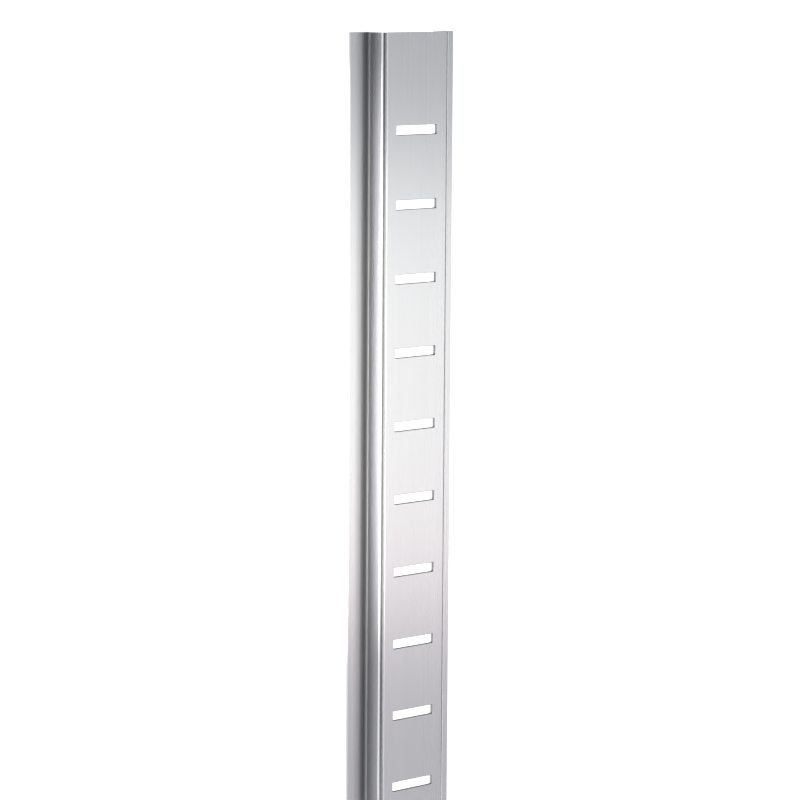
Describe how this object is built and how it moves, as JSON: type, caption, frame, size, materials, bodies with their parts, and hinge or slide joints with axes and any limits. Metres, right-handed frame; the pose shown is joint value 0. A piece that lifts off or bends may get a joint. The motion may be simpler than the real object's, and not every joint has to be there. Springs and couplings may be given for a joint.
{
  "type": "shelf standard",
  "caption": "Straight stainless strip bent to a shallow hat section, with a row of cross slots down its face for hooked shelf supports.",
  "frame": {"origin": "middle of the length and width, on the plane of the flanges' backs", "axes": "+Y along the length towards the end that the picture shows, +Z out of the slotted face, X across"},
  "size_m": [0.036, 1.82, 0.007],
  "materials": {
    "brushed_stainless": "hairline brushed along the length"
  },
  "bodies": {
    "root": {"shelf_standard": "brushed_stainless"}
  },
  "joints": []
}
